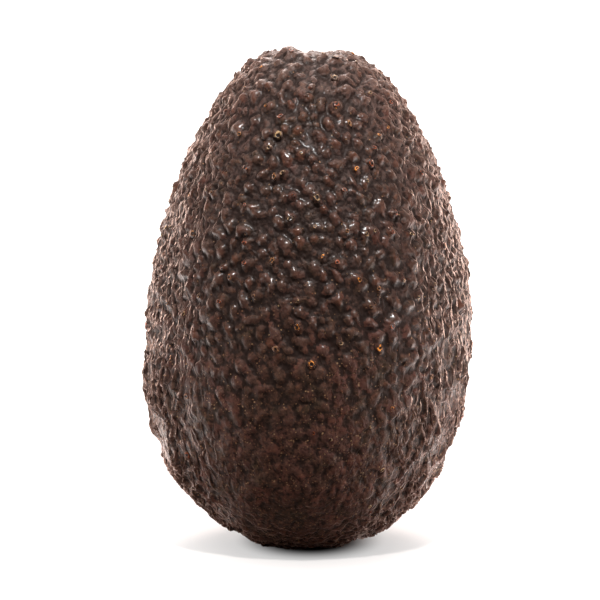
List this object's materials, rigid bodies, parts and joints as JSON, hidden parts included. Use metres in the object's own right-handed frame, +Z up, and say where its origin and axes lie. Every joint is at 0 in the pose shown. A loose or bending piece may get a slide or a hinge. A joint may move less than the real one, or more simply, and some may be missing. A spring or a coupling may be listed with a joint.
{
  "type": "avocado",
  "caption": "Ripe dark rough-skinned avocado: an egg-shaped body raised all over into pebbly nodules, woody stem button in the crown, small flat spot to stand on.",
  "frame": {"origin": "centre of the flat spot under the broad end, which the fruit stands on", "axes": "+Z up, along the fruit from the broad blossom end to the narrower stem end; the front faces -Y; the crown leans slightly towards +X and +Y"},
  "size_m": [0.069, 0.0672, 0.1019],
  "materials": {
    "skin": "satin",
    "stem": "matte"
  },
  "bodies": {
    "root": {"fruit": "skin", "stem_button": "stem"}
  },
  "joints": []
}
